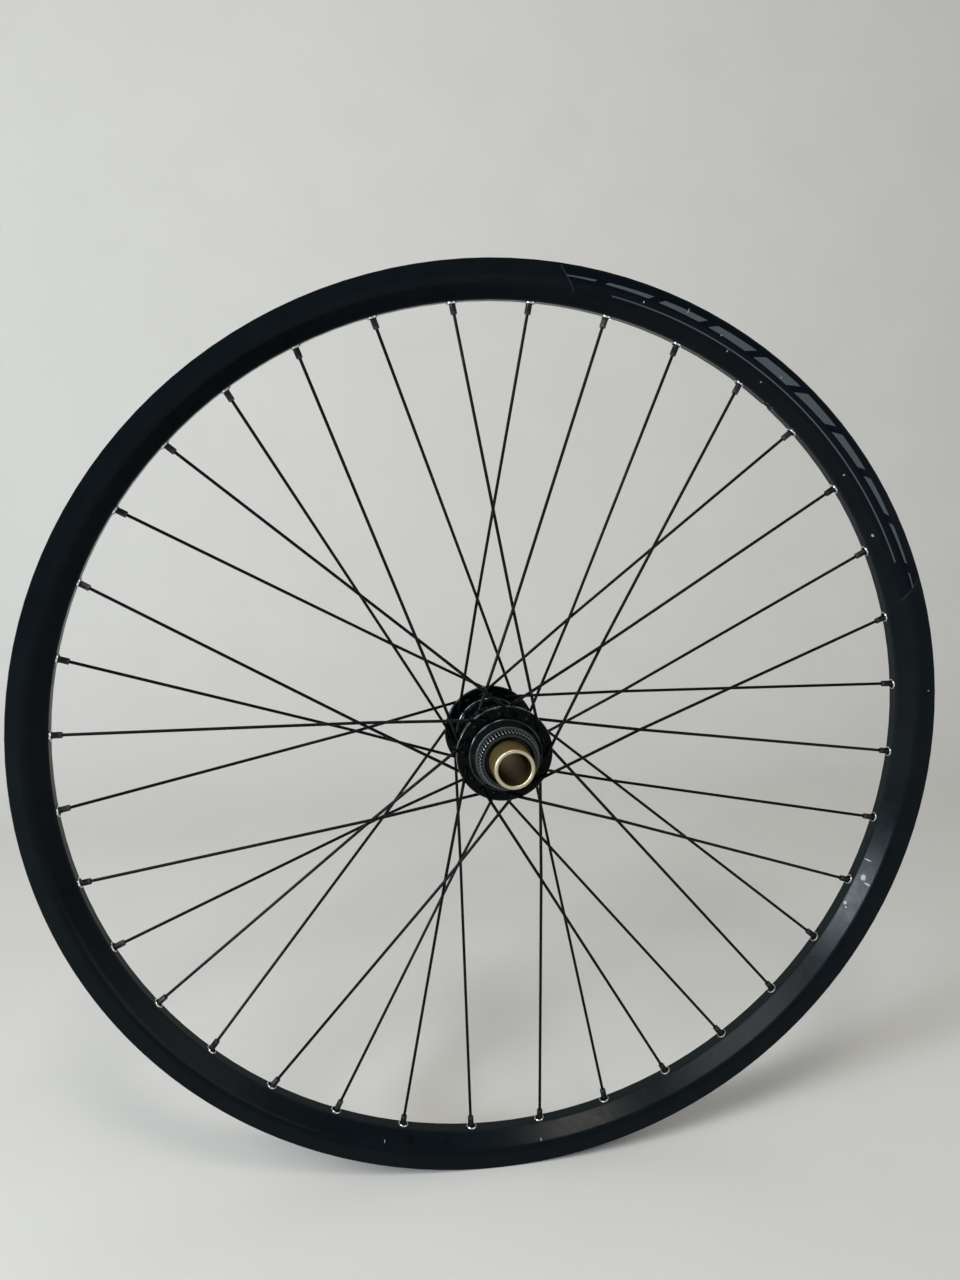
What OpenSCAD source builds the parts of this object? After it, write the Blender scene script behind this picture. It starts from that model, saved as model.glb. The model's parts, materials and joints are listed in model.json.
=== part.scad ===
// Front bicycle wheel without its tyre: a double-wall rim, 36 crossed spokes
// and a disc-brake hub for a 20 mm through axle.
// The origin is the wheel's centre, on the axle. +Y runs along the axle,
// the brake side faces -Y, and +Z is up. All sizes are in millimetres.

/* [Wheel] */
// Number of spokes
spoke_count = 36; // [28:4:40]
// Angle of the first spoke's nipple, counted from +X towards +Z
first_angle = 96.2; // [0:0.1:360]
// Angle between a spoke's hub hole and its nipple, three crossings at 60
lacing_angle = 60; // [40:20:60]

/* [Rim] */
// Outside radius of the rim
rim_r = 298; // [280:1:312]
// Outside width of the rim
rim_w = 31.3; // [24:0.1:36]
// Radius of the spoke bed, where the eyelets sit
bed_r = 276; // [258:1:290]
// Width of the flat spoke bed
bed_w = 7.2; // [6.8:0.1:9]
// Radius of the shelf that the tyre bead sits on
bead_r = 292; // [274:1:306]
// Thickness of the walls round the hollow
wall = 1.5; // [1.2:0.1:2]
// Radius of the valve hole
valve_r = 4.25; // [3.1:0.05:4.3]

/* [Spokes] */
// Radius of a spoke's wire
wire_r = 1; // [0.8:0.05:1.2]
// Radius of the elbow, along the middle of the wire
elbow_r = 2.2; // [1.8:0.1:3]
// Radius of a spoke's head
head_r = 2; // [1.7:0.1:2.4]
// Radius of a nipple's round body
nipple_r = 1.97; // [1.8:0.01:2.2]
// Radius at which a nipple ends, on its hub side
nipple_tip_r = 268.7; // [266:0.1:272]

/* [Hub] */
// Width between the faces that the fork closes on
hub_w = 110; // [100:1:110]
// Radius of the bore for the through axle
axle_bore_r = 10.05; // [10.02:0.01:10.1]
// Radius of both spoke flanges
flange_r = 30.8; // [29:0.1:34]
// Radius of the circle of spoke holes
holes_r = 26; // [25.6:0.1:28]
// Thickness of a spoke flange
flange_t = 3.2; // [2.8:0.1:3.6]
// Distance from the centre to the middle of the brake side flange
near_flange = 21; // [18:0.5:24]
// Distance from the centre to the middle of the other flange
far_flange = 35; // [30:0.5:37]
// Number of teeth on the disc spline
spline_teeth = 52; // [40:1:60]

/* [Bearings] */
// Outside radius of a bearing
bearing_r = 18.5; // [18.5:0.5:18.5]
// Width of a bearing
bearing_w = 7; // [7:1:7]
// Number of balls in a bearing
ball_count = 16; // [12:1:18]

/* [Hidden] */
spoke_names = [for (i = [0:spoke_count - 1]) str("spoke_", i < 9 ? "0" : "", i + 1)];

step_angle = 360 / spoke_count;
rim_h = rim_w / 2;
edge_round = 0.7;
side_round = 9;
wire_step = 0.02;
wire_lap = 0.12;
fine = 96;

// Eyelet and nipple. The heights are measured along a rim hole from the axle.
hole_r = 3.1;
eyelet_r = 3.4;
sleeve_r = 3.05;
cup_r = 3.25;
eyelet_bore_r = 2.35;
eyelet_mouth_r = 2.88;
lip_r = bed_r - 1.05;
floor_r = bed_r + 2.4;
ball_seat_r = 3;
pivot_r = bed_r + 4;
access_r = 4.25;
head_top = 0.9;
flats_l = 4.6;
flats_w = 3.5;
nipple_end_r = 1.78;
nipple_end_l = 0.35;
nipple_turn_step = 14;
slot_w = 1;

// Hub stations along Y
near_face = -near_flange - flange_t / 2;
near_back = -near_flange + flange_t / 2;
far_back = far_flange - flange_t / 2;
far_face = far_flange + flange_t / 2;
boss_r = 23.5;
boss_y = near_face - 2.5;
stop_y = -31.8;
stop_r = 20.35;
spline_y = -38.7;
spline_r = 18.3;
spline_root_r = 17.2;
thread_r = 15;
barrel_r = 21.9;
waist_r = 20.5;
far_end = 41.5;
near_bearing = -30.5;
far_bearing = 30;
shell_bore_r = 18.7;

// Axle and end caps
race_bore_r = 12.5;
seat_r = race_bore_r - 0.02;
cap_r = 12.7;
neck_r = 11.5;
shoulder_r = 13.6;
shoulder_t = 1.5;
cap_flange_r = 14;
cap_flange_t = 1.6;
lip_t = 2;
seal_lip_r = 13.1;
seal_t = 1.4;
ring_r = 0.35;
ring_y = hub_w / 2 - 5;

// Bearing rings
pitch_r = 15.5;
ball_r = 1.75;
groove_r = 1.8;
inner_top_r = 14.4;
outer_low_r = 16.6;

// Angle of nipple k, and of the hub hole that its spoke starts from.
// Even spokes go to the brake side flange and odd ones to the other.
function nipple_angle(k) = first_angle - step_angle * k;
function elbow_out(k) = k % 4 == 0 || k % 4 == 3;
function hub_angle(k) = nipple_angle(k) + (elbow_out(k) ? -lacing_angle : lacing_angle);
function flange_y(k) = k % 2 == 0 ? -near_flange : far_flange;
function on_circle(r, a) = [r * cos(a), r * sin(a)];

// The way a spoke leaves its flange, along Y: outwards if its elbow is outside
function out_sign(k) = (k % 2 == 0 ? -1 : 1) * (elbow_out(k) ? 1 : -1);
function hub_point(k) = on_circle(holes_r, hub_angle(k));
function rim_point(k) = on_circle(pivot_r, nipple_angle(k));
function run(k) = norm(rim_point(k) - hub_point(k));
function run_angle(k) =
    let (d = rim_point(k) - hub_point(k)) atan2(d[1], d[0]);

// Distance from the hub hole to the last crossing, where two spokes touch.
// The crossing lies one spoke step from the nipple, seen from the centre.
foot_d = holes_r * sin(run_angle(0) - hub_angle(0));
foot_run = sqrt(holes_r * holes_r - foot_d * foot_d);
foot_angle = acos(foot_d / pivot_r);
cross_d = foot_d * tan(foot_angle - step_angle) - foot_run;

// Height of a spoke above its flange's middle, along its own way out:
// where it crosses, and at the nipple
function rim_h_of(k) = -out_sign(k) * flange_y(k);
function cross_mid(k) = abs(flange_y(k)) * (1 - cross_d / run(k));
function cross_y(k) =
    let (inward = elbow_out(k) ? -1 : 1)
    sign(flange_y(k)) * (cross_mid(k) + inward * (wire_r + 0.02));
function cross_h(k) = out_sign(k) * (cross_y(k) - flange_y(k));

// Heading of the line that leaves the elbow's bend and ends at distance x, height h
function elbow_heading(x, h) =
    let (dx = x - elbow_r)
    let (dh = h - flange_t / 2)
    let (straight = sqrt(dx * dx + dh * dh - elbow_r * elbow_r))
    atan2(dh, dx) - atan2(elbow_r, straight);

// Puts children, drawn along +Z, on the radial line at angle a in the wheel
module on_radius(a) {
    rotate([0, 90 - a, 0]) children();
}

// Turns a profile drawn as (radius, y) about the axle
module about_axle(sides = fine) {
    rotate([-90, 0, 0]) rotate_extrude($fn = sides) children();
}

// Points of a round corner about a centre, in (radius, y)
function corner(centre, r, from, to, n = 6) =
    [for (i = [0:n]) let (a = from + (to - from) * i / n)
        [centre[0] + r * cos(a), centre[1] + r * sin(a)]];

// Half outline of the rim, as (radius, y), from the spoke bed to the well
rim_in = rim_h - 2.2;
rim_outline = concat(
    [[bed_r, bed_w / 2], [bed_r + 0.5, bed_w / 2 + 0.15], [bed_r + 0.9, bed_w / 2 + 0.7]],
    corner([bed_r + 15, rim_h - side_round], side_round, 138.5, 90, 8),
    corner([rim_r - edge_round, rim_h - edge_round], edge_round, 90, 0, 4),
    [[rim_r, rim_in + 0.5], [rim_r - 0.5, rim_in - 0.3], [rim_r - 1.5, rim_in - 0.45]],
    [[rim_r - 2.4, rim_in], [bead_r + 0.8, rim_in], [bead_r, rim_in - 0.9]],
    [[bead_r - 0.3, rim_in - 4.6], [bead_r - 3.6, rim_in - 6.9]]);

// Half outline of the sealed hollow between the rim's two walls
hollow_outline = [
    [floor_r, bed_w / 2 - 0.1],
    [bed_r + 10.8, rim_h - 1.8 - wall],
    [bed_r + 12.4, rim_h - 0.9 - wall],
    [bead_r - 0.2 - wall, rim_h - 0.9 - wall],
    [bead_r - 0.1 - wall, rim_h - 4.9 - wall],
    [bead_r - 3.6 - wall, rim_h - 7.5 - wall]
];

// A whole outline from the half on the +Y side
function both_sides(half) = concat(
    [for (p = half) p],
    [for (i = [len(half) - 1:-1:0]) [half[i][0], -half[i][1]]]);

module rim() {
    color([0.09, 0.095, 0.105])
    difference() {
        about_axle(180) difference() {
            polygon(both_sides(rim_outline));
            polygon(both_sides(hollow_outline));
        }
        for (k = [0:spoke_count - 1]) on_radius(nipple_angle(k)) {
            rim_cut(bed_r, bed_r + 4.5, hole_r);
            rim_cut(bead_r - 5.5, bead_r + 3, access_r);
        }
        on_radius(nipple_angle(4.5)) rim_cut(bed_r, bead_r + 2.5, valve_r);
    }
}

// A round hole through the rim's wall, cut from just below its first height.
// The valve hole goes through both walls, midway between two nipples.
module rim_cut(from, to, r) {
    translate([0, 0, from - 1.5]) cylinder(h = to - from + 1.5, r = r, $fn = 32);
}

// Swaged ring with a lip below the spoke bed, a sleeve through it and a cone
// above it that carries the round head of the nipple. The bore widens towards
// the hub, so that the nipple can lean the way its spoke does.
module eyelet() {
    seat_x = 2.5;
    seat_z = pivot_r - sqrt(ball_seat_r * ball_seat_r - seat_x * seat_x);
    slope = seat_x / (pivot_r - seat_z);
    top_z = floor_r + 0.4;
    rotate_extrude($fn = 32)
    polygon([
        [eyelet_mouth_r, lip_r + 0.15],
        [eyelet_mouth_r + 0.12, lip_r],
        [eyelet_r - 0.25, lip_r],
        [eyelet_r, lip_r + 0.4],
        [eyelet_r, bed_r - 0.02],
        [sleeve_r, bed_r - 0.02],
        [sleeve_r, floor_r],
        [cup_r, floor_r],
        [cup_r, top_z],
        [seat_x + (top_z - seat_z) / slope, top_z],
        [eyelet_bore_r, seat_z - (seat_x - eyelet_bore_r) * slope]
    ]);
}

module spoke_eyelets() {
    color([0.78, 0.79, 0.8])
    for (k = [0:spoke_count - 1]) on_radius(nipple_angle(k)) eyelet();
}

// Moves children from the bend plane of spoke k into the wheel:
// +X runs from the hub hole to the nipple and +Y the way the spoke leaves
module in_spoke_plane(k) {
    h = hub_point(k);
    s = out_sign(k);
    translate([h[0], flange_y(k), h[1]])
        multmatrix([
            [cos(run_angle(k)), 0, -s * sin(run_angle(k)), 0],
            [0, s, 0, 0],
            [sin(run_angle(k)), 0, s * cos(run_angle(k)), 0],
            [0, 0, 0, 1]
        ]) children();
}

// A straight stretch of wire in the bend plane. It starts a little way inside
// the stretch before it, which is thicker by a hair.
module wire(from, to, r) {
    way = to - from;
    translate([from[0], from[1], 0]) rotate([0, 0, atan2(way[1], way[0])]) rotate([0, 90, 0])
        translate([0, 0, -wire_lap]) cylinder(h = norm(way) + wire_lap, r = r, $fn = 24);
}

// The elbow's round bend, between two angles about its centre
module bend(centre, from, to) {
    translate([centre[0], centre[1], 0]) rotate([0, 0, from])
        rotate_extrude(angle = to - from, $fn = 90)
            translate([elbow_r, 0]) circle(r = wire_r + wire_step, $fn = 24);
}

// The head and the short shank that passes through the flange
module spoke_head() {
    face_h = flange_t / 2;
    shank_r = wire_r + 2 * wire_step;
    rotate([90, 0, 0]) rotate_extrude($fn = 24) polygon([
        [0, -wire_lap - face_h], [shank_r, -wire_lap - face_h], [shank_r, face_h],
        [head_r, face_h], [head_r, face_h + 0.5], [head_r * 0.55, face_h + 1.2],
        [0, face_h + 1.2]
    ]);
}

// Wire with a head, an elbow and a slight kink where it crosses another spoke
module spoke(k) {
    rise = elbow_heading(cross_d, cross_h(k));
    centre = [elbow_r, flange_t / 2];
    elbow_end = centre + elbow_r * [-sin(rise), cos(rise)];
    crossing = [cross_d, cross_h(k)];
    rim_end = [run(k), rim_h_of(k)];
    wire_end = rim_end - 0.5 * (rim_end - crossing) / norm(rim_end - crossing);
    color([0.07, 0.07, 0.075])
    in_spoke_plane(k) {
        spoke_head();
        bend(centre, 90 + rise, 180);
        wire(elbow_end, crossing, wire_r);
        wire(crossing, wire_end, wire_r - wire_step);
    }
}

// Nipple along its spoke: round head, round body and wrench flats
module nipple(k) {
    last_heading = atan2(rim_h_of(k) - cross_h(k), run(k) - cross_d);
    length = (pivot_r - nipple_tip_r) / cos(run_angle(k) - nipple_angle(k));
    in_spoke_plane(k) translate([run(k), rim_h_of(k), 0])
        rotate([0, 0, last_heading]) rotate([0, 90, 0]) rotate([0, 0, nipple_turn(k)])
        difference() {
            union() {
                nipple_head();
                translate([0, 0, flats_l - length])
                    cylinder(h = length - flats_l, r = nipple_r, $fn = 32);
                translate([0, 0, -length]) nipple_flats();
            }
            translate([0, 0, -length - 1]) cylinder(h = length + 4, r = wire_r + 0.03, $fn = 24);
            translate([-4, -slot_w / 2, 0.1]) cube([8, slot_w, 2]);
        }
}

// Each nipple is screwed home to a turn of its own, an edge of its flats about outward.
function nipple_turn(k) = 45 + nipple_turn_step * (k % 3 - 1);

module nipple_head() {
    intersection() {
        sphere(r = ball_seat_r - 0.02, $fn = 48);
        translate([0, 0, -4]) cylinder(h = 4 + head_top, r = 4, $fn = 48);
    }
}

// Square bar for the key, its corners round and its end bevelled
module nipple_flats() {
    half_w = flats_w / 2;
    intersection() {
        translate([-half_w, -half_w, 0]) cube([flats_w, flats_w, flats_l]);
        cylinder(h = nipple_end_l, r1 = nipple_end_r, r2 = nipple_r, $fn = 32);
    }
    translate([0, 0, nipple_end_l]) intersection() {
        translate([-half_w, -half_w, 0]) cube([flats_w, flats_w, flats_l - nipple_end_l]);
        cylinder(h = flats_l, r = nipple_r, $fn = 32);
    }
}

module spoke_nipples() {
    color([0.08, 0.08, 0.085])
    for (k = [0:spoke_count - 1]) nipple(k);
}

// Ring of spline teeth, drawn as (x, z) and pushed along the axle
module spline_teeth_ring() {
    pitch = 360 / spline_teeth;
    front = spline_y + 0.1;
    intersection() {
        rotate([-90, 0, 0]) translate([0, 0, front])
            linear_extrude(height = stop_y + 0.2 - front) difference() {
                polygon([for (i = [0:spline_teeth - 1], c = [
                    [spline_root_r, -0.32], [spline_root_r, -0.26], [spline_r, -0.15],
                    [spline_r, 0.15], [spline_root_r, 0.26], [spline_root_r, 0.32]
                ]) on_circle(c[0], (i + c[1]) * pitch)]);
                circle(r = spline_root_r - 1.2, $fn = fine);
            }
        about_axle() polygon([
            [thread_r, front], [spline_root_r + 0.1, front], [spline_r + 0.05, front + 1],
            [spline_r + 0.05, stop_y + 1], [thread_r, stop_y + 1]
        ]);
    }
}

// Rim of a spoke flange between its two faces, with softened edges
function flange_edge(low, high) = concat(
    corner([flange_r - 0.7, low + 0.7], 0.7, -90, 0, 4),
    corner([flange_r - 0.7, high - 0.7], 0.7, 0, 90, 4));

module shell_section() {
    seat = bearing_r + 0.02;
    outside = concat(
        [[spline_root_r - 0.5, spline_y], [spline_root_r - 0.2, spline_y + 0.3]],
        [[spline_root_r - 0.2, stop_y], [stop_r - 0.35, stop_y], [stop_r, stop_y + 0.35]],
        [[stop_r, stop_y + 2.6], [stop_r - 0.4, stop_y + 3]],
        [[boss_r - 0.9, boss_y - 0.5]],
        corner([boss_r - 0.7, boss_y + 0.5], 0.7, -80, 0, 4),
        [[boss_r, near_face]],
        flange_edge(near_face, near_back),
        corner([barrel_r + 2.5, near_back + 2.5], 2.5, 270, 180),
        [[barrel_r, near_back + 5], [waist_r, near_back + 17], [waist_r, far_back - 17]],
        [[barrel_r, far_back - 6]],
        corner([barrel_r + 1.6, far_back - 1.6], 1.6, 180, 90),
        flange_edge(far_back, far_face),
        [[boss_r - 0.5, far_face], [boss_r - 0.5, far_face + 2], [stop_r + 1, far_end - 1]],
        [[stop_r + 0.6, far_end]]);
    inside = [
        [seat + 0.8, far_end], [seat, far_end - 0.6],
        [seat, far_bearing], [shell_bore_r, far_bearing - 0.2],
        [shell_bore_r, near_bearing + bearing_w + 0.2], [seat, near_bearing + bearing_w],
        [seat, near_bearing], [outer_low_r + 0.3, near_bearing],
        [outer_low_r + 0.3, near_bearing - 1], [thread_r, near_bearing - 1],
        [thread_r, spline_y + 0.9], [thread_r + 0.9, spline_y]
    ];
    polygon(concat(outside, inside));
}

// One-piece hub body: two flanges, barrel, bearing seats, disc stop and spline
module hub_shell() {
    color([0.06, 0.062, 0.068])
    difference() {
        union() {
            about_axle() shell_section();
            spline_teeth_ring();
        }
        for (k = [0:spoke_count - 1]) {
            h = hub_point(k);
            translate([h[0], flange_y(k), h[1]]) rotate([90, 0, 0]) {
                cylinder(h = flange_t + 2, r = wire_r + 0.25, center = true, $fn = 24);
                for (side = [-1, 1]) scale([1, 1, side]) spoke_hole_chamfer();
            }
        }
    }
}

module spoke_hole_chamfer() {
    size = 0.35;
    translate([0, 0, flange_t / 2 - size])
        cylinder(h = size + 0.1, r1 = wire_r + 0.25, r2 = wire_r + 0.35 + size, $fn = 24);
}

// Hollow axle with a shoulder inside each bearing and a neck for each end cap
module axle_tube() {
    near_in = near_bearing + bearing_w;
    near_out = near_bearing + 0.2;
    far_out = far_bearing + bearing_w - 0.2;
    tip = hub_w / 2 - lip_t;
    color([0.6, 0.6, 0.61])
    difference() {
        about_axle() polygon([
            [axle_bore_r, -tip], [neck_r - 0.3, -tip], [neck_r, -tip + 0.3],
            [neck_r, near_out], [seat_r, near_out], [seat_r, near_in],
            [shoulder_r, near_in], [shoulder_r, near_in + shoulder_t],
            [seat_r, near_in + shoulder_t + 1], [seat_r, far_bearing - shoulder_t - 1],
            [shoulder_r, far_bearing - shoulder_t], [shoulder_r, far_bearing],
            [seat_r, far_bearing], [seat_r, far_out], [neck_r, far_out],
            [neck_r, tip - 0.3], [neck_r - 0.3, tip], [axle_bore_r, tip]
        ]);
        for (y = [-ring_y, ring_y]) about_axle() translate([neck_r - 2 * ring_r, y - 0.5])
            square([1, 1]);
    }
}

// Sleeve over the axle's neck. Its flange holds the bearing's inner ring and
// its mouth is the face that the fork closes on. inner_y is the bearing's face,
// and side is 1 for the +Y end and -1 for the other.
module end_cap(inner_y, side) {
    tip = hub_w / 2;
    from = abs(inner_y);
    bore = neck_r + 0.02;
    color([0.72, 0.58, 0.3])
    rotate([-90 * side, 0, 0]) rotate_extrude($fn = fine) polygon([
        [bore, from], [cap_flange_r, from], [cap_flange_r, from + cap_flange_t],
        [cap_r, from + cap_flange_t + 0.4], [cap_r, tip - 0.7], [cap_r - 0.7, tip],
        [axle_bore_r + 0.5, tip], [axle_bore_r, tip - 0.5], [axle_bore_r, tip - lip_t],
        [bore, tip - lip_t]
    ]);
}

module left_end_cap() {
    end_cap(near_bearing, -1);
}

module right_end_cap() {
    end_cap(far_bearing + bearing_w, 1);
}

module end_cap_o_rings() {
    color([0.05, 0.05, 0.05])
    for (y = [-ring_y, ring_y]) about_axle() translate([neck_r - ring_r, y])
        circle(r = ring_r - 0.01, $fn = 24);
}

// Lip seal pressed into the shell just outside a bearing
module seal(outer_r, y) {
    color([0.05, 0.05, 0.055])
    about_axle() polygon([
        [seal_lip_r, y - seal_t * 0.25], [seal_lip_r + 0.8, y - seal_t / 2],
        [outer_r, y - seal_t / 2], [outer_r, y + seal_t / 2],
        [seal_lip_r + 0.8, y + seal_t / 2], [seal_lip_r, y + seal_t * 0.25]
    ]);
}

module left_seal() {
    seal(thread_r - 0.02, near_bearing - cap_flange_t - 1.2);
}

module right_seal() {
    seal(bearing_r, far_bearing + bearing_w + cap_flange_t + 1.2);
}

// Bearing ring between two radii, with the balls' groove cut in it
module race(low_r, high_r, y) {
    edge = 0.3;
    color([0.55, 0.55, 0.56])
    about_axle() difference() {
        polygon([
            [low_r, y + edge], [low_r + edge, y], [high_r - edge, y], [high_r, y + edge],
            [high_r, y + bearing_w - edge], [high_r - edge, y + bearing_w],
            [low_r + edge, y + bearing_w], [low_r, y + bearing_w - edge]
        ]);
        translate([pitch_r, y + bearing_w / 2]) circle(r = groove_r, $fn = 48);
    }
}

module ball_places(y) {
    for (i = [0:ball_count - 1]) rotate([0, i * 360 / ball_count, 0])
        translate([pitch_r, y + bearing_w / 2, 0]) children();
}

module balls(y) {
    color([0.75, 0.75, 0.76])
    ball_places(y) sphere(r = ball_r, $fn = 32);
}

// Ring between the races with a round pocket for every ball
module ball_cage(y) {
    half_t = 0.45;
    cage_w = 5;
    color([0.25, 0.2, 0.15])
    difference() {
        about_axle() translate([pitch_r - half_t, y + (bearing_w - cage_w) / 2])
            square([2 * half_t, cage_w]);
        ball_places(y) rotate([0, 90, 0])
            cylinder(h = 4, r = ball_r + 0.05, center = true, $fn = 32);
    }
}

module left_outer_race() {
    race(outer_low_r, bearing_r, near_bearing);
}

module left_inner_race() {
    race(race_bore_r, inner_top_r, near_bearing);
}

module left_balls() {
    balls(near_bearing);
}

module left_ball_cage() {
    ball_cage(near_bearing);
}

module right_outer_race() {
    race(outer_low_r, bearing_r, far_bearing);
}

module right_inner_race() {
    race(race_bore_r, inner_top_r, far_bearing);
}

module right_balls() {
    balls(far_bearing);
}

module right_ball_cage() {
    ball_cage(far_bearing);
}

rim();
spoke_eyelets();
spoke_nipples();
hub_shell();
axle_tube();
left_end_cap();
right_end_cap();
end_cap_o_rings();
left_seal();
right_seal();
left_outer_race();
left_inner_race();
left_balls();
left_ball_cage();
right_outer_race();
right_inner_race();
right_balls();
right_ball_cage();
for (k = [0:spoke_count - 1])
    spoke(k);
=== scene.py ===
"""Looks of the bicycle wheel: procedural materials, a lockring thread, studio light and camera."""

import json
import math

import bpy
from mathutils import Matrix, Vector


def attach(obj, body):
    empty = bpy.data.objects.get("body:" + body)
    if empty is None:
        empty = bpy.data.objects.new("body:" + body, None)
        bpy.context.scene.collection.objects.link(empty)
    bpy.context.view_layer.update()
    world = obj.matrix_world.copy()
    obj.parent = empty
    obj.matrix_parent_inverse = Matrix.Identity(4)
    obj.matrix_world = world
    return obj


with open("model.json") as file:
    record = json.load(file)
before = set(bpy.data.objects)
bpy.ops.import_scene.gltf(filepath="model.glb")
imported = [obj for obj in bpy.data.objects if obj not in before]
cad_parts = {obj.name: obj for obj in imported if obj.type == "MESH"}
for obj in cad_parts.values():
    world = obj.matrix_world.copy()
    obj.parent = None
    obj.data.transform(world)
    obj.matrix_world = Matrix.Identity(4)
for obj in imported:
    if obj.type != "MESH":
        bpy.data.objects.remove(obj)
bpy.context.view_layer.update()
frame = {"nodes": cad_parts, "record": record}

MM = 0.001

# Camera at the photograph's viewing angle, in metres
CAMERA_AT = Vector((-0.1154, -0.6326, 0.1904))
CAMERA_LOOKS_AT = Vector((-0.0123, 0.0, 0.0692))
LENS = 28.89
SENSOR = 36.0

# Floor and wall in metres: the floor runs from its front to the wall, with a round sweep between
FLOOR_Z = -0.298
FLOOR_FRONT = -3.0
WALL_Y = 1.3
WALL_TOP = 4.0
SWEEP_R = 0.6
SWEEP_STEPS = 16
BACKDROP_HALF = 4.0
BACKDROP = (0.69, 0.67, 0.63)

# Lamps that face the wheel: name, place and width in metres, watts, colour
LAMPS = [
    ("key", (-1.70, -1.0, 0.44), 0.42, 28.0, (0.79, 0.90, 1.0)),
    ("side", (-1.14, -1.06, 1.26), 0.8, 15.0, (0.95, 0.98, 1.0)),
    ("top", (-0.16, -1.18, 1.93), 0.45, 10.0, (1.0, 0.96, 0.86)),
    ("fill", (1.6, -1.2, 0.5), 1.2, 7.0, (0.97, 0.985, 1.0)),
]
SKY = (0.90, 0.93, 0.97)
SKY_STRENGTH = 0.36

# The film on the brake side of the rim, in degrees round the rim and millimetres
FILM_MIDDLE = 51.0
FILM_HALF = 31.5
FILM_INNER_R = 283.0
FILM_OUTER_R = 296.6
FILM_MIDDLE_R = (FILM_INNER_R + FILM_OUTER_R) / 2
FILM_SLANT = 0.16
FILM_Y = -8.0
# Its row of bars: degrees from bar to bar and half the gap, height above the film's middle,
# half height at the middle of the row and the loss of it per degree towards both ends
BAR_PITCH = 7.0
BAR_GAP_HALF = 0.7
BAR_SLANT = 0.3
BAR_MIDDLE = 1.6
BAR_HALF = 3.0
BAR_SHRINK = 0.075
# The thin line below the bars: its two heights, and degrees left bare at each end
LINE_HEIGHTS = (-4.6, -3.9)
LINE_BARE = 5

# Gloss of the rim's sides and of its spoke bed, and the radius between them; inside that radius the
# bed is also painted lighter, a painted reflection
RIM_GLOSS = 0.085
BED_GLOSS = 0.05
BED_EDGE_R = 277.0
# Degrees round the rim to its joint and to its valve hole, and the hole's radius
SEAM_ANGLE = 231.2
SEAM_R = 285
SEAM_HALF = 0.16
VALVE_ANGLE = 51.2
VALVE_R = 4.25
# Small marks on the brake side of the rim: angle, radius, half length along the rim, half width
MARKS_Y = -4.0
CHIPS = [
    (72.9, 287.7, 0.35, 0.6),
    (67.4, 292.5, 0.2, 1.5),
    (62.4, 289.4, 0.3, 0.5),
    (54.5, 281.8, 0.4, 0.4),
    (37.6, 281.8, 0.4, 0.5),
    (28.2, 280.4, 0.9, 0.5),
    (5.5, 292.9, 0.4, 0.4),
    (340.1, 278.8, 0.45, 1.6),
    (337.5, 280.0, 1.9, 1.1),
    (336.9, 282.8, 0.6, 1.4),
    (333.0, 277.9, 1.3, 0.6),
    (332.5, 279.2, 0.5, 0.5),
    (60.6, 284.2, 0.3, 0.7),
    (53.1, 290.0, 0.35, 0.55),
    (275.8, 283.7, 0.3, 0.8),
    (253.7, 282.8, 0.3, 0.7),
]
# Darker blotches on the brake side, in the same columns as CHIPS
DARK_BLOTCHES = [
    (346.8, 284.0, 1.0, 2.2),
    (342.7, 286.4, 0.8, 1.8),
    (257.2, 281.0, 3.4, 2.2),
    (262.5, 281.0, 1.6, 1.4),
]
# Hub stations in millimetres: along the axle (Y) and in radius (R)
SPLINE_Y = -31.9
TIP_R = 17.95
FRONT_Y = -38.2
FRONT_RS = (15.4, 17.3)
STOP_YS = (-31.9, -31.3)
STOP_R = 18.35
FLANGE_YS = (-22.9, -22.3)
FLANGE_FOOT_R = 23.6
HUB_GLOSS = 0.13
FLANGE_GLOSS = 0.06
EDGE_GLOSS = 0.6
# Edges of the hub that handling has polished: from and to along the axle, from and to in radius
POLISHED = [
    (-25.5, -24.0, 22.7, 23.7),
    (-22.55, -21.6, 30.2, 31.0),
    (31.8, 33.5, 21.9, 23.6),
]

# The axle's bore, and where the end caps' turned mouths begin
BORE_R = 10.3
MOUTH_Y = 54.7
BORE_GOLD = (0.20, 0.135, 0.035)

# Spokes are duller inside this radius, and nipples are rubbed inside theirs
SPOKE_HEADS_R = 33.0
SPOKE_GLOSS = 0.1
HEAD_GLOSS = 0.03
KEY_END_R = 270.2

# The thread in the hub's recess, in millimetres
THREAD_WALL_R = 15.05
THREAD_TIP_R = 14.55
THREAD_START_Y = -37.4
THREAD_TURNS = 4.0
THREAD_PITCH = 1.0
THREAD_HALF = 0.42
THREAD_STEPS = 96
THREAD_FADE = 24


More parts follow.
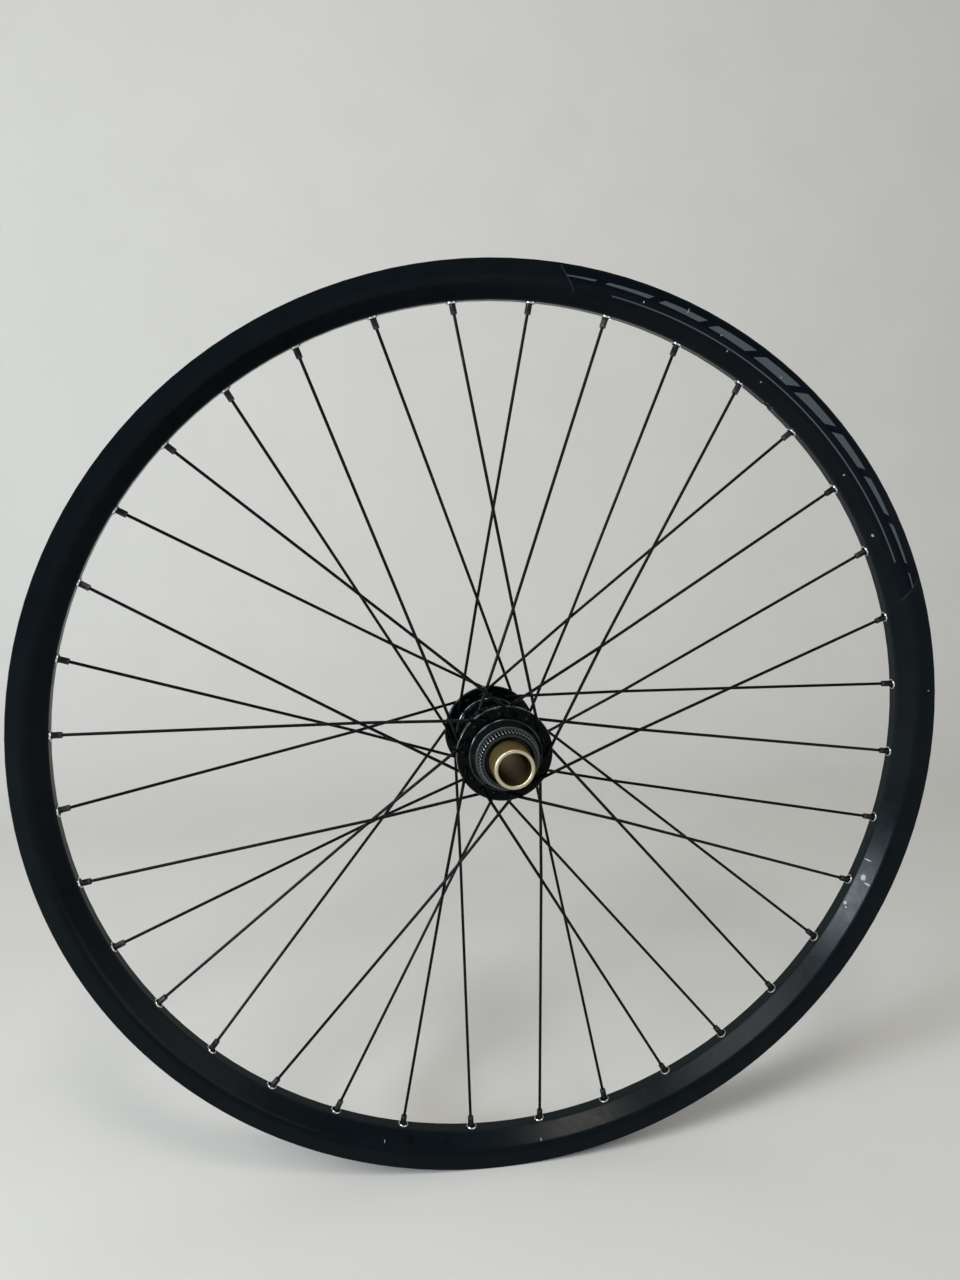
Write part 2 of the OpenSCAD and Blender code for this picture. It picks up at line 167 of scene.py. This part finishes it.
class Paint:
    """A procedural material: its shader, with short calls that add nodes before it."""

    def __init__(self, name, colour, rough, metal=0.0, specular=0.5):
        self.material = bpy.data.materials.new(name)
        self.material.use_nodes = True
        self.tree = self.material.node_tree
        self.shader = self.tree.nodes["Principled BSDF"]
        self.set(self.shader, "Base Color", (*colour, 1.0))
        self.set(self.shader, "Roughness", rough)
        self.set(self.shader, "Metallic", metal)
        self.set(self.shader, "Specular IOR Level", specular)
        self.place = self.tree.nodes.new("ShaderNodeTexCoord").outputs["Object"]

    def set(self, node, socket, value):
        """Links value to the node's socket if it is an output, or else writes it there."""
        if isinstance(value, bpy.types.NodeSocket):
            self.tree.links.new(value, node.inputs[socket])
        else:
            node.inputs[socket].default_value = value

    def math(self, operation, a, b=0.0):
        node = self.tree.nodes.new("ShaderNodeMath")
        node.operation = operation
        self.set(node, 0, a)
        self.set(node, 1, b)
        return node.outputs[0]

    def xyz(self):
        """The place in the frame, in millimetres."""
        scale = self.tree.nodes.new("ShaderNodeVectorMath")
        scale.operation = "SCALE"
        self.set(scale, 0, self.place)
        scale.inputs["Scale"].default_value = 1 / MM
        split = self.tree.nodes.new("ShaderNodeSeparateXYZ")
        self.set(split, 0, scale.outputs[0])
        return split.outputs["X"], split.outputs["Y"], split.outputs["Z"]

    def radius(self):
        """Distance from the axle in millimetres."""
        x, _, z = self.xyz()
        return self.length(x, z)

    def angle_from(self, middle):
        """Degrees round the axle from an angle, between -180 and 180."""
        x, _, z = self.xyz()
        turn = math.radians(middle)
        along = self.plus(self.times(x, math.cos(turn)), self.times(z, math.sin(turn)))
        across = self.plus(self.times(z, math.cos(turn)), self.times(x, -math.sin(turn)))
        return self.times(self.math("ARCTAN2", across, along), math.degrees(1))

    def plus(self, a, b):
        return self.math("ADD", a, b)

    def times(self, a, b):
        return self.math("MULTIPLY", a, b)

    def length(self, a, b):
        return self.math("SQRT", self.plus(self.times(a, a), self.times(b, b)))

    def over(self, value, edge, soft):
        """0 below the edge and 1 above it, with a soft step."""
        node = self.tree.nodes.new("ShaderNodeMapRange")
        node.interpolation_type = "SMOOTHSTEP"
        self.set(node, "Value", value)
        node.inputs["From Min"].default_value = edge - soft / 2
        node.inputs["From Max"].default_value = edge + soft / 2
        return node.outputs["Result"]

    def under(self, value, edge, soft):
        return self.math("SUBTRACT", 1.0, self.over(value, edge, soft))

    def between(self, value, low, high, soft):
        return self.times(self.over(value, low, soft), self.under(value, high, soft))

    def noise(self, scale, detail=3.0, low=0.0, high=1.0):
        """Noise between low and high. The scale is in features per metre."""
        node = self.tree.nodes.new("ShaderNodeTexNoise")
        self.set(node, "Vector", self.place)
        node.inputs["Scale"].default_value = scale
        node.inputs["Detail"].default_value = detail
        spread = self.tree.nodes.new("ShaderNodeMapRange")
        self.set(spread, "Value", node.outputs["Fac"])
        spread.inputs["From Min"].default_value = 0.3
        spread.inputs["From Max"].default_value = 0.7
        spread.inputs["To Min"].default_value = low
        spread.inputs["To Max"].default_value = high
        return spread.outputs["Result"]

    def mixed(self, amount, a, b):
        """Colour a where amount is 0 and colour b where it is 1."""
        node = self.tree.nodes.new("ShaderNodeMix")
        node.data_type = "RGBA"
        self.set(node, "Factor", amount)
        for socket, colour in (("A", a), ("B", b)):
            target = next(s for s in node.inputs if s.name == socket and s.type == "RGBA")
            if isinstance(colour, bpy.types.NodeSocket):
                self.tree.links.new(colour, target)
            else:
                target.default_value = (*colour, 1.0)
        return next(s for s in node.outputs if s.type == "RGBA")

    def blend(self, amount, a, b):
        """Number a where amount is 0 and number b where it is 1."""
        node = self.tree.nodes.new("ShaderNodeMix")
        self.set(node, 0, amount)
        self.set(node, 2, a)
        self.set(node, 3, b)
        return node.outputs[0]

    def colour(self, value):
        self.set(self.shader, "Base Color", value)

    def rough(self, value):
        self.set(self.shader, "Roughness", value)

    def metal(self, value):
        self.set(self.shader, "Metallic", value)

    def bump(self, height, distance):
        """Relief of that height in metres where the value is 1."""
        node = self.tree.nodes.new("ShaderNodeBump")
        self.set(node, "Height", height)
        node.inputs["Distance"].default_value = distance
        self.tree.links.new(node.outputs["Normal"], self.shader.inputs["Normal"])


def spot(paint, y, radius, ragged, at, soft=0.35):
    """A small mark on the brake side with a ragged edge, as in CHIPS."""
    angle, mark_r, half_length, half_width = at
    along = paint.times(paint.angle_from(angle), math.radians(1) * mark_r / half_length)
    across = paint.times(paint.plus(radius, -mark_r), 1 / half_width)
    inside = paint.under(paint.plus(paint.length(along, across), ragged), 1.0, soft)
    return paint.times(inside, paint.under(y, MARKS_Y, 1.0))


def film_masks(paint, y, radius):
    """Masks of the rim's film, of the grey bars on it and of its edge."""
    angle = paint.angle_from(FILM_MIDDLE)
    height = paint.plus(radius, -FILM_MIDDLE_R)
    leaning = paint.plus(angle, paint.times(height, -FILM_SLANT))
    near = paint.times(
        paint.under(y, FILM_Y, 0.5), paint.between(radius, FILM_INNER_R, FILM_OUTER_R, 0.15))
    reach = paint.math("ABSOLUTE", leaning)
    film = paint.times(near, paint.under(reach, FILM_HALF, 0.04))
    edge = paint.times(near, paint.between(reach, FILM_HALF - 0.1, FILM_HALF + 0.06, 0.05))

    # One row of leaning bars, shorter towards both ends, over a thin line
    cell = paint.math("FLOORED_MODULO", paint.plus(angle, paint.times(height, BAR_SLANT)), BAR_PITCH)
    shrink = paint.times(paint.math("ABSOLUTE", angle), BAR_SHRINK)
    bar_half = paint.math("SUBTRACT", BAR_HALF, shrink)
    bar_height = paint.math("ABSOLUTE", paint.plus(height, -BAR_MIDDLE))
    bars = paint.times(
        paint.between(cell, BAR_GAP_HALF, BAR_PITCH - BAR_GAP_HALF, 0.06),
        paint.over(paint.math("SUBTRACT", bar_half, bar_height), 0.3, 0.12))
    line = paint.times(
        paint.between(height, *LINE_HEIGHTS, 0.1), paint.under(reach, FILM_HALF - LINE_BARE, 0.1))
    return film, paint.times(film, paint.math("MAXIMUM", bars, line)), edge


def valve_wall(paint):
    """Mask of the valve hole's wall, which was drilled after the rim was blackened."""
    x, y, z = paint.xyz()
    turn = math.radians(VALVE_ANGLE)
    across = paint.plus(paint.times(z, math.cos(turn)), paint.times(x, -math.sin(turn)))
    along = paint.plus(paint.times(x, math.cos(turn)), paint.times(z, math.sin(turn)))
    inside = paint.under(paint.length(across, y), VALVE_R + 0.05, 0.06)
    return paint.times(inside, paint.over(along, 0.0, 1.0))


def rim_paint(name):
    """Satin black with a film, a joint line, chips, darker blotches, a bare valve hole and painted
    reflection on the spoke bed.
    """
    paint = Paint(name, (0.003, 0.004, 0.005), 0.3)
    _, y, _ = paint.xyz()
    radius = paint.radius()
    film, bars, edge = film_masks(paint, y, radius)
    colour = paint.mixed(paint.noise(60, 4), (0.0015, 0.0034, 0.0048), (0.0025, 0.0048, 0.0066))
    colour = paint.mixed(film, colour, (0.0010, 0.0024, 0.0046))
    colour = paint.mixed(bars, colour, (0.057, 0.068, 0.071))
    colour = paint.mixed(paint.times(edge, 0.5), colour, (0.035, 0.035, 0.042))
    aside = paint.times(paint.angle_from(SEAM_ANGLE), math.radians(1) * SEAM_R)
    seam = paint.between(aside, -SEAM_HALF, SEAM_HALF, 0.12)
    colour = paint.mixed(seam, colour, (0.009, 0.010, 0.011))
    ragged = paint.noise(1700, 3, -0.4, 0.4)
    for chip in CHIPS:
        mark = spot(paint, y, radius, ragged, chip)
        colour = paint.mixed(mark, colour, (0.32, 0.33, 0.33))
    # Darker blotches in the rim's colour
    for blotch in DARK_BLOTCHES:
        mark = spot(paint, y, radius, ragged, blotch, 0.7)
        colour = paint.mixed(mark, colour, (0.0016, 0.0022, 0.0030))
    # The spoke bed is painted lighter than the sides: a painted reflection of the pale floor
    bed = paint.under(radius, BED_EDGE_R, 0.5)
    colour = paint.mixed(bed, colour, (0.0075, 0.0105, 0.0115))
    bare = valve_wall(paint)
    paint.colour(paint.mixed(bare, colour, (0.84, 0.84, 0.82)))
    paint.metal(bare)
    paint.set(paint.shader, "Specular IOR Level", paint.blend(bed, RIM_GLOSS, BED_GLOSS))
    paint.rough(paint.blend(film, paint.noise(240, 5, 0.18, 0.25), 0.17))
    paint.bump(paint.noise(1400, 2), 0.00001)
    return paint.material


def hub_paint(name):
    """Gloss black, worn to bare metal on the tips of the spline and the face of the disc stop."""
    paint = Paint(name, (0.002, 0.0024, 0.003), 0.16)
    _, y, _ = paint.xyz()
    radius = paint.radius()
    tips = paint.times(paint.over(radius, TIP_R, 0.4), paint.under(y, SPLINE_Y, 0.1))
    face = paint.times(paint.between(radius, *FRONT_RS, 0.6), paint.under(y, FRONT_Y, 0.2))
    stop = paint.times(paint.over(radius, STOP_R, 0.1), paint.between(y, *STOP_YS, 0.2))
    scuffed = paint.noise(900, 4, 0.5, 1.0)
    black = paint.mixed(paint.noise(300, 3), (0.0006, 0.0014, 0.0018), (0.0012, 0.0022, 0.0026))
    colour = paint.mixed(paint.times(face, scuffed), black, (0.026, 0.030, 0.030))
    colour = paint.mixed(paint.times(stop, scuffed), colour, (0.085, 0.094, 0.090))
    paint.colour(paint.mixed(paint.times(tips, scuffed), colour, (0.40, 0.41, 0.40)))
    worn = paint.math("MAXIMUM", tips, stop)
    paint.metal(paint.times(worn, 0.7))
    flat = paint.times(
        paint.between(y, *FLANGE_YS, 0.1), paint.over(radius, FLANGE_FOOT_R, 0.1))
    gloss = paint.blend(flat, HUB_GLOSS, FLANGE_GLOSS)
    for low_y, high_y, low_r, high_r in POLISHED:
        edge = paint.times(
            paint.between(y, low_y, high_y, 0.1), paint.between(radius, low_r, high_r, 0.1))
        gloss = paint.blend(edge, gloss, EDGE_GLOSS)
    paint.set(paint.shader, "Specular IOR Level", gloss)
    paint.rough(paint.blend(worn, paint.noise(160, 3, 0.13, 0.2), 0.36))
    return paint.material


def cap_paint(name):
    """Gold anodised cap with a bright turned mouth and a darker bore."""
    paint = Paint(name, (0.20, 0.14, 0.05), 0.34, metal=0.7)
    _, y, _ = paint.xyz()
    radius = paint.radius()
    end = paint.over(paint.math("ABSOLUTE", y), MOUTH_Y, 0.15)
    mouth = paint.times(end, paint.over(radius, BORE_R, 0.1))
    bore = paint.under(radius, BORE_R, 0.1)
    colour = paint.mixed(paint.noise(500, 3), (0.17, 0.12, 0.038), (0.235, 0.17, 0.06))
    colour = paint.mixed(mouth, colour, (0.62, 0.57, 0.44))
    paint.colour(paint.mixed(bore, colour, BORE_GOLD))
    paint.metal(paint.blend(paint.math("MAXIMUM", mouth, bore), 0.7, 1.0))
    paint.rough(paint.blend(mouth, paint.noise(700, 3, 0.34, 0.46), 0.36))
    return paint.material


def axle_paint(name):
    """Alloy tube, gold in its bore like the caps at its ends."""
    paint = Paint(name, (0.4, 0.39, 0.36), 0.36, metal=0.8)
    bore = paint.under(paint.radius(), BORE_R, 0.2)
    alloy = paint.mixed(paint.noise(600, 4), (0.34, 0.33, 0.31), (0.44, 0.43, 0.40))
    paint.colour(paint.mixed(bore, alloy, BORE_GOLD))
    paint.metal(paint.blend(bore, 0.8, 1.0))
    paint.rough(paint.noise(900, 3, 0.3, 0.42))
    return paint.material


def spoke_paint(name):
    """Black wire, a little scuffed along its length."""
    paint = Paint(name, (0.005, 0.005, 0.0055), 0.26)
    at_hub = paint.under(paint.radius(), SPOKE_HEADS_R, 2.0)
    gloss = paint.blend(at_hub, SPOKE_GLOSS, HEAD_GLOSS)
    paint.set(paint.shader, "Specular IOR Level", gloss)
    scuffs = paint.over(paint.noise(420, 6), 0.93, 0.1)
    colour = paint.mixed(paint.noise(90, 3), (0.0012, 0.0014, 0.0018), (0.0028, 0.0031, 0.0035))
    paint.colour(paint.mixed(paint.times(scuffs, 0.3), colour, (0.05, 0.05, 0.05)))
    paint.rough(paint.noise(700, 3, 0.2, 0.32))
    return paint.material


def nipple_paint(name):
    """Black, rubbed a little brighter at the hub end where a key turns it."""
    paint = Paint(name, (0.006, 0.006, 0.0065), 0.3, specular=0.2)
    key_end = paint.under(paint.radius(), KEY_END_R, 1.6)
    rubbed = paint.times(key_end, paint.noise(1500, 4, 0.0, 0.5))
    colour = paint.mixed(paint.noise(500, 3), (0.0030, 0.0044, 0.0054), (0.0062, 0.0080, 0.0092))
    paint.colour(paint.mixed(rubbed, colour, (0.08, 0.08, 0.08)))
    paint.rough(paint.noise(800, 3, 0.26, 0.38))
    return paint.material


def plain_paint(name, dark, light, rough, metal=0.0, scale=600.0, relief=0.0):
    """A finish that only varies a little in tone and gloss."""
    paint = Paint(name, light, rough, metal=metal)
    paint.colour(paint.mixed(paint.noise(scale, 4), dark, light))
    paint.rough(paint.noise(scale * 1.7, 3, rough * 0.85, rough * 1.2))
    if relief:
        paint.bump(paint.noise(scale * 3, 3), relief)
    return paint.material


def paints_by_slot():
    return {
        "rim_black": rim_paint("rim_black"),
        "hub_black": hub_paint("hub_black"),
        "cap_gold": cap_paint("cap_gold"),
        "spoke_black": spoke_paint("spoke_black"),
        "nipple_black": nipple_paint("nipple_black"),
        "eyelet_silver": plain_paint(
            "eyelet_silver", (0.62, 0.62, 0.61), (0.80, 0.80, 0.78), 0.26, metal=1.0),
        "axle_alloy": axle_paint("axle_alloy"),
        "seal_rubber": plain_paint(
            "seal_rubber", (0.009, 0.009, 0.010), (0.018, 0.018, 0.019), 0.6, relief=0.00002),
        "bearing_steel": plain_paint(
            "bearing_steel", (0.42, 0.42, 0.43), (0.52, 0.52, 0.53), 0.24, metal=1.0),
        "ball_steel": plain_paint(
            "ball_steel", (0.58, 0.58, 0.59), (0.66, 0.66, 0.67), 0.12, metal=1.0),
        "cage_polymer": plain_paint(
            "cage_polymer", (0.075, 0.055, 0.040), (0.115, 0.085, 0.060), 0.5),
    }


def dress_cad_nodes(paints):
    slots = {row["node"]: row["material_slot"] for row in frame["record"]["subparts"]}
    for node, piece in frame["nodes"].items():
        for place in piece.material_slots:
            place.material = paints[slots[node]]


def lockring_thread(paint):
    """The fine thread that the disc's lockring screws into, on the wall of the hub's recess."""
    points, faces = [], []
    count = int(THREAD_TURNS * THREAD_STEPS)
    for i in range(count + 1):
        turn = 2 * math.pi * i / THREAD_STEPS
        y = THREAD_START_Y + THREAD_PITCH * i / THREAD_STEPS
        fade = min(1.0, i / THREAD_FADE, (count - i) / THREAD_FADE)
        tip = THREAD_WALL_R - (THREAD_WALL_R - THREAD_TIP_R) * fade
        ridge = ((THREAD_WALL_R, -THREAD_HALF), (tip, 0.0), (THREAD_WALL_R, THREAD_HALF))
        for radius, shift in ridge:
            x, z = radius * math.cos(turn), radius * math.sin(turn)
            points.append((x * MM, (y + shift) * MM, z * MM))
    for i in range(count):
        for side in (0, 1):
            a = 3 * i + side
            faces.append((a, a + 1, a + 4, a + 3))
    mesh = bpy.data.meshes.new("lockring_thread")
    mesh.from_pydata(points, [], faces)
    mesh.materials.append(paint)
    piece = bpy.data.objects.new("lockring_thread", mesh)
    bpy.context.collection.objects.link(piece)
    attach(piece, "wheel")


def backdrop():
    """A pale floor that sweeps up into a pale wall behind the wheel."""
    line = [(FLOOR_FRONT, FLOOR_Z)]
    for i in range(SWEEP_STEPS + 1):
        turn = math.radians(90 * i / SWEEP_STEPS)
        y = WALL_Y - SWEEP_R + SWEEP_R * math.sin(turn)
        line.append((y, FLOOR_Z + SWEEP_R * (1 - math.cos(turn))))
    line.append((WALL_Y, WALL_TOP))
    points = [(x, y, z) for y, z in line for x in (-BACKDROP_HALF, BACKDROP_HALF)]
    faces = [(2 * i, 2 * i + 1, 2 * i + 3, 2 * i + 2) for i in range(len(line) - 1)]
    mesh = bpy.data.meshes.new("backdrop")
    mesh.from_pydata(points, [], faces)
    for face in mesh.polygons:
        face.use_smooth = True
    paint = Paint("backdrop", BACKDROP, 0.8, specular=0.2)
    paint.colour(paint.mixed(paint.noise(9, 5), tuple(0.97 * c for c in BACKDROP), BACKDROP))
    mesh.materials.append(paint.material)
    piece = bpy.data.objects.new("backdrop", mesh)
    bpy.context.collection.objects.link(piece)


def lamp(name, at, size, power, colour):
    """A square soft lamp that faces the wheel's centre."""
    data = bpy.data.lights.new(name, "AREA")
    data.size = size
    data.energy = power
    data.color = colour
    piece = bpy.data.objects.new(name, data)
    piece.location = at
    piece.rotation_euler = (-Vector(at)).to_track_quat("-Z", "Y").to_euler()
    bpy.context.collection.objects.link(piece)


def studio():
    for row in LAMPS:
        lamp(*row)
    world = bpy.data.worlds.new("studio")
    world.use_nodes = True
    sky = world.node_tree.nodes["Background"]
    sky.inputs["Color"].default_value = (*SKY, 1.0)
    sky.inputs["Strength"].default_value = SKY_STRENGTH
    bpy.context.scene.world = world
    bpy.context.scene.view_settings.view_transform = "Standard"


def camera():
    data = bpy.data.cameras.new("camera")
    data.lens = LENS
    data.sensor_width = SENSOR
    data.sensor_fit = "AUTO"
    data.clip_start = 0.01
    piece = bpy.data.objects.new("camera", data)
    piece.location = CAMERA_AT
    piece.rotation_euler = (CAMERA_LOOKS_AT - CAMERA_AT).to_track_quat("-Z", "Y").to_euler()
    bpy.context.collection.objects.link(piece)
    bpy.context.scene.camera = piece


paints = paints_by_slot()
dress_cad_nodes(paints)
lockring_thread(paints["hub_black"])
backdrop()
studio()
camera()
